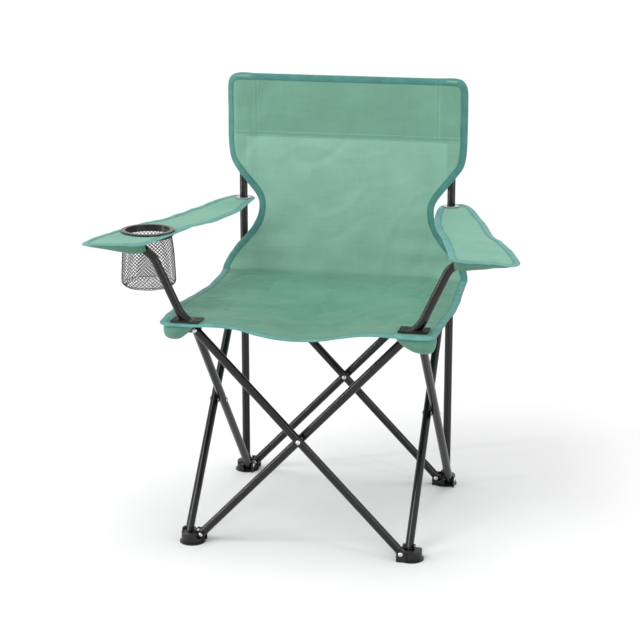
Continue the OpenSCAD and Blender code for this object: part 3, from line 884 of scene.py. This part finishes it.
def make_armrest(side):
    word = WORD[side]
    control = mirrored(np.array(ARMREST, float)[::-1] * MM, side) + [0, MID_Y]
    path = catmull(control, True)
    turning = np.sum(path[:, 0] * np.roll(path[:, 1], -1) - np.roll(path[:, 0], -1) * path[:, 1])
    if turning < 0:
        path = path[::-1]
    holes = [circle(side * POST_X, REAR_Y, 12.2 * MM)]
    if side < 0:
        holes.append(circle(CUP.x, CUP.y, 47 * MM, 72))
    arm = Cloth(armrest_surface(side), path, True, holes)
    edge = offset_path(arm.path, TAPE_W - STITCH_IN, True)
    sheet = arm.sheet(f"armrest_cloth_{word}")
    binding = arm.binding(f"armrest_binding_{word}")
    stitches = arm.stitches(f"armrest_stitches_{word}", [edge], STITCH_LIFT)
    parts = [
        (paint(sheet, ARM_CLOTH), "cloth"),
        (paint(binding, EDGE_TAPE), "binding"),
        (paint(stitches, TAPE_THREAD_AND_EDGE_SHADOW), "stitches"),
    ]
    along = arm_direction(side)
    here = arm_split(side)
    made = {}
    for obj, kind in parts:
        base = obj.name
        front, rear = cut(obj, here, along, base + "_front", base + "_rear")
        for part, where in ((front, "front"), (rear, "rear")):
            made[kind, where] = part
    made["pocket", "front"] = paint(underside_pocket(side, arm), POCKET_CLOTH)
    return made


def arm_ends(side):
    """The arm post's end, where the armrest turns, and its rear end on the upright."""
    return Vector(JOINTS[WORD[side] + "_armrest_fold"]["pos_m"]), centre("armrest_eyelet_" + WORD[side])


def arm_direction(side):
    start, end = arm_ends(side)
    return (end - start).normalized()


def arm_split(side):
    """Where an armrest is split into its front and its rear."""
    return Vector((side * 290 * MM, ARM_SPLIT_Y, ARM_TOP))


# ---- the cup holder ------------------------------------------------------


def make_net():
    """The mesh basket: a diamond net round the side, a square one across the bottom, a hem and a seam."""
    columns, pitch = 42, 3.3 * MM
    top, low = BASKET_HIGH.z - 0.5 * MM, BASKET_LOW.z + 0.8 * MM
    rows = int((top - low) / pitch)
    radius = Curve((0, 40.5), (4, 47.5), (10, 51), (40, 50.2), (100, 44.8))
    points = []
    for j in range(rows + 1):
        z = low + (top - low) * j / rows
        r = radius(z - low) * (1 + 0.006 * math.sin(j * 0.4))
        for i in range(columns):
            turn = 2 * math.pi * (i + 0.5 * (j % 2)) / columns
            points.append((CUP.x + r * math.cos(turn), CUP.y + r * math.sin(turn), z))
    faces = []
    for j in range(1, rows):
        shift = j % 2
        for i in range(columns):
            left = (j - 1) * columns + (i + shift) % columns
            up = (j + 1) * columns + (i + shift) % columns
            a = j * columns + i
            b = j * columns + (i + 1) % columns
            faces.append((a, left, b, up))
    side = mesh_object("cup_net_side", points, faces)
    bottom = net_floor(low, radius(0.0) + 0.5 * MM)
    for obj, strand in ((side, 1.6 * MM), (bottom, 1.3 * MM)):
        wire = obj.modifiers.new("strands", "WIREFRAME")
        wire.thickness = strand
        wire.use_replace = True
        wire.use_even_offset = False
        wire.use_boundary = True
        apply_modifiers(obj)
        obj.data.shade_smooth()
    flatten_strands(side, bottom, radius, low)
    return [
        side,
        bottom,
        ring_tube("cup_net_hem", 45.6 * MM, top - 1.4 * MM, 0.8 * MM, 1.6 * MM),
        ring_tube("cup_net_seam", radius(6 * MM), low + 6 * MM, 0.5 * MM, 0.6 * MM),
    ]


def flatten_strands(side, bottom, radius, low):
    """Presses round strands flat: the side's towards its wall, the bottom's towards its plane."""
    for v in bottom.data.vertices:
        v.co.z = low + 0.3 * (v.co.z - low)
    at = np.array([v.co for v in side.data.vertices])
    out = at[:, :2] - [CUP.x, CUP.y]
    reach, wall = np.hypot(*out.T), radius(at[:, 2] - low)
    at[:, :2] += out * ((0.5 * reach + 0.5 * wall) / reach - 1)[:, None]
    side.data.vertices.foreach_set("co", at.ravel())


def net_floor(z, radius):
    """The basket's bottom: a square net that hangs a little towards its middle."""
    step = 6 * MM
    count = int(radius / step)
    index, points, faces = {}, [], []
    for a in range(-count, count + 1):
        for b in range(-count, count + 1):
            x, y = a * step, b * step
            if math.hypot(x, y) <= radius:
                index[a, b] = len(points)
                points.append((CUP.x + x, CUP.y + y, z - 1.2 * MM * (1 - math.hypot(x, y) / radius)))
    for a, b in index:
        corners = [(a, b), (a + 1, b), (a + 1, b + 1), (a, b + 1)]
        if all(c in index for c in corners):
            faces.append(tuple(index[c] for c in corners))
    return mesh_object("cup_net_floor", points, faces)


def ring_tube(name, radius, z, half_width, half_height):
    """A flat band or cord round the cup holder's axis."""
    turns, sides = 96, 10
    rings = np.zeros((turns, sides, 3))
    for i in range(turns):
        a = 2 * math.pi * i / turns
        for k in range(sides):
            b = 2 * math.pi * k / sides
            r = radius + half_width * math.cos(b)
            rings[i, k] = (CUP.x + r * math.cos(a), CUP.y + r * math.sin(a), z + half_height * math.sin(b))
    return sweep(name, rings, True)


# ---- putting the pieces on their bodies ----------------------------------


def declare(piece):
    """Works out a cloth sheet's flat size, which nothing then uses.

    The flat size is taken from the finished piece: its two longer extents plus 2 mm, and its own area.
    """
    length, width, _ = sorted(piece.dimensions, reverse=True)
    width, length = width + 2 * MM, length + 2 * MM
    area = area_of(piece)
    if area > width * length:
        width = area / length * 1.02


def place_back(made):
    bodies = {"left": "rear_left_post", "middle": "rear_left_post", "right": "rear_right_post"}
    for (kind, where), part in made.items():
        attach(part, bodies[where])
        if where == "middle":
            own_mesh(part)
    for where in ("left", "middle", "right"):
        declare(made["cloth", where])
        declare(made["rear", where])
    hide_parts("back_panel")


def place_seat(made):
    for side in (-1, 1):
        word = WORD[side]
        body = f"seat_{word}_half"
        pocket = paint(corner_pocket(side), SEAT_CLOTH)
        for part in (made["cloth", word], made["binding", word], made["stitches", word], pocket):
            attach(part, body)
            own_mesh(part)
        declare(made["cloth", word])
        declare(pocket)
        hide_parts(f"seat_{word}")
        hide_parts(f"corner_pocket_{word}")


def place_armrest(side, made):
    word = WORD[side]
    for (kind, where), part in made.items():
        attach(part, f"{word}_armrest")
        if where == "rear":
            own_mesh(part)
    for where in ("front", "rear"):
        declare(made["cloth", where])
    declare(made["pocket", "front"])
    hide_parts(f"armrest_{word}")


def place_net(parts):
    for part in parts:
        paint(part, NET)
        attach(part, "left_armrest")
    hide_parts("cup_basket")


# ---- the studio ----------------------------------------------------------


def aim(obj, place, target):
    bpy.context.scene.collection.objects.link(obj)
    obj.location = place
    obj.rotation_euler = (Vector(target) - Vector(place)).to_track_quat("-Z", "Y").to_euler()


def area_light(name, place, target, size, power):
    data = bpy.data.lights.new(name, "AREA")
    data.shape = "RECTANGLE"
    data.size, data.size_y = size
    data.energy = power
    aim(bpy.data.objects.new(name, data), place, target)


def far_light(name, place, target, spread, strength):
    """A large lamp far away: soft shadows, the same brightness all over the floor."""
    data = bpy.data.lights.new(name, "SUN")
    data.angle = math.radians(spread)
    data.energy = strength
    aim(bpy.data.objects.new(name, data), place, target)


def studio():
    world = bpy.data.worlds.new("studio")
    world.use_nodes = True
    world.node_tree.nodes["Background"].inputs["Color"].default_value = (1, 1, 1, 1)
    world.node_tree.nodes["Background"].inputs["Strength"].default_value = 1.0
    bpy.context.scene.world = world
    bpy.context.scene.view_settings.view_transform = "Standard"
    floor = mesh_object("floor", [(-60, -60, 0), (60, -60, 0), (60, 60, 0), (-60, 60, 0)], [(0, 1, 2, 3)])
    floor.data.materials.append(Shader("pale_floor", (0.71, 0.71, 0.71, 1), 0.8).material)
    middle = (0, 0, 0.45)
    far_light("key", (-1.4, -1.8, 3.2), middle, 30, 1.15)
    far_light("top", (0.3, 0.4, 3.0), middle, 30, 0.5)
    area_light("left_strip", (-2.3, -0.9, 0.8), middle, (0.10, 2.4), 26)
    area_light("right_strip", (2.4, -1.2, 0.9), middle, (0.10, 2.4), 16)


def camera():
    azimuth, elevation, distance = math.radians(12.245), math.radians(15.086), 3.6761
    target = Vector((-8.0 * MM, MID_Y, 391.45 * MM))
    back = Vector(
        (
            math.sin(azimuth) * math.cos(elevation),
            -math.cos(azimuth) * math.cos(elevation),
            math.sin(elevation),
        )
    )
    data = bpy.data.cameras.new("camera")
    data.lens = 107.08
    data.sensor_width = 36
    obj = bpy.data.objects.new("camera", data)
    bpy.context.scene.collection.objects.link(obj)
    obj.location = target + back * distance
    obj.rotation_euler = (-back).to_track_quat("-Z", "Y").to_euler()
    bpy.context.scene.camera = obj


camera()
studio()
paint_frame()
place_back(make_back())
place_seat(make_seat())
for which in (-1, 1):
    place_armrest(which, make_armrest(which))
place_net(make_net())
